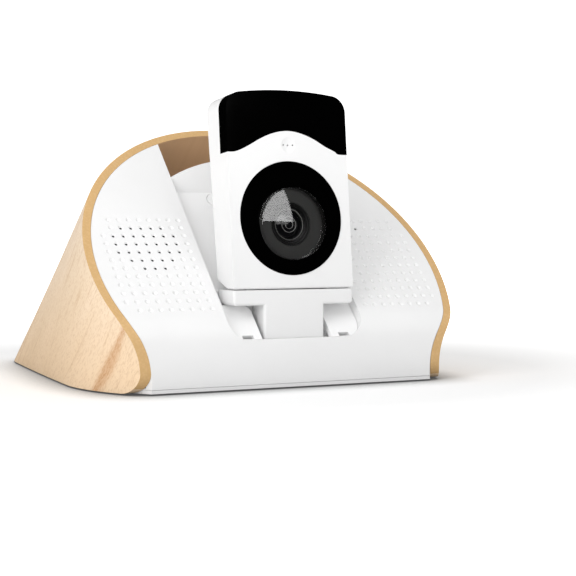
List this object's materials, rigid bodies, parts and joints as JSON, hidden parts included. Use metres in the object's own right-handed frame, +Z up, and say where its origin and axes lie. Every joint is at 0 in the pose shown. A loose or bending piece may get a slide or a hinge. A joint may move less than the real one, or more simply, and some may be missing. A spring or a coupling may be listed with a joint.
{
  "type": "baby monitor camera",
  "caption": "Baby monitor camera: a tilting camera head on a foot that lifts out of a docking station with a bent-wood hood, slanted white front, speaker grille and keys.",
  "frame": {"origin": "on the table, under the middle of the box round the whole part", "axes": "+Z up, +Y from the camera side to the back of the hood, +X to the right seen from the front"},
  "size_m": [0.1772, 0.201, 0.1317],
  "materials": {
    "veneer": "pale veneer on bent plywood, satin",
    "cleat_wood": "plain sawn",
    "dock_white": "moulded, fine satin grain",
    "channel_white": "moulded, fine satin grain",
    "base_grey": "moulded, fine grain",
    "foot_rubber": "soft, matt",
    "gasket_rubber": "foam, matt",
    "screw_steel": "plated",
    "magnet_iron": "dull",
    "speaker_paper": "pressed paper cone",
    "part_metal": "drawn can",
    "black_plastic": "moulded",
    "contact_brass": "gold plated",
    "board_green": "solder mask",
    "inner_plastic": "natural nylon",
    "key_white": "moulded, satin",
    "camera_white": "moulded, soft gloss",
    "black_gloss": "high gloss, passes infrared light",
    "lens_glass": "clear dome",
    "barrel_black": "turned, anti-glare",
    "element_glass": "coated lens",
    "led_clear": "clear resin"
  },
  "bodies": {
    "dock": {"wood_hood": "veneer", "front_fascia": "dock_white", "cradle": "channel_white", "handle_tub": "channel_white", "base_tray": "base_grey", "rubber_feet": "foot_rubber", "base_screws": "screw_steel", "hood_cleats": "cleat_wood", "rear_panel": "dock_white", "dc_inlet": "black_plastic", "main_board": "board_green", "board_standoffs": "inner_plastic", "speaker_gasket": "gasket_rubber", "speaker_frame": "screw_steel", "speaker_magnet": "magnet_iron", "speaker_cone": "speaker_paper", "dock_microphone": "part_metal", "contact_block": "black_plastic", "contact_pins": "contact_brass", "key_switches": "black_plastic", "key_board": "board_green"},
    "volume_up": {"volume_up_key": "key_white"},
    "volume_down": {"volume_down_key": "key_white"},
    "camera_foot": {"foot_shell": "camera_white", "foot_cover": "camera_white", "foot_contacts": "contact_brass"},
    "camera_head": {"head_front_shell": "camera_white", "head_rear_shell": "camera_white", "ir_window": "black_gloss", "head_screws": "screw_steel", "lens_disk": "black_gloss", "lens_dome": "lens_glass", "lens_cup": "black_plastic", "lens_barrel": "barrel_black", "lens_element": "element_glass", "sensor_board": "board_green", "camera_board": "board_green", "ir_led_board": "board_green", "ir_leds": "led_clear", "head_microphone": "part_metal", "tilt_pins": "screw_steel", "friction_washers": "inner_plastic"}
  },
  "joints": [
    {"name": "camera_undock", "type": "slide", "parent": "dock", "child": "camera_foot", "axis": [0, 0, 1], "range_m": [0, 0.115]},
    {"name": "camera_tilt", "type": "hinge", "parent": "camera_foot", "child": "camera_head", "pos_m": [0, -0.092, 0.0464], "axis": [-1, 0, 0], "range_deg": [0, 20]},
    {"name": "volume_up_press", "type": "slide", "parent": "dock", "child": "volume_up", "axis": [0, 0.729, -0.6845], "range_m": [0, 0.0006], "stiffness_N_per_m": 1500, "springref_m": -0.0006},
    {"name": "volume_down_press", "type": "slide", "parent": "dock", "child": "volume_down", "axis": [0, 0.729, -0.6845], "range_m": [0, 0.0006], "stiffness_N_per_m": 1500, "springref_m": -0.0006}
  ]
}
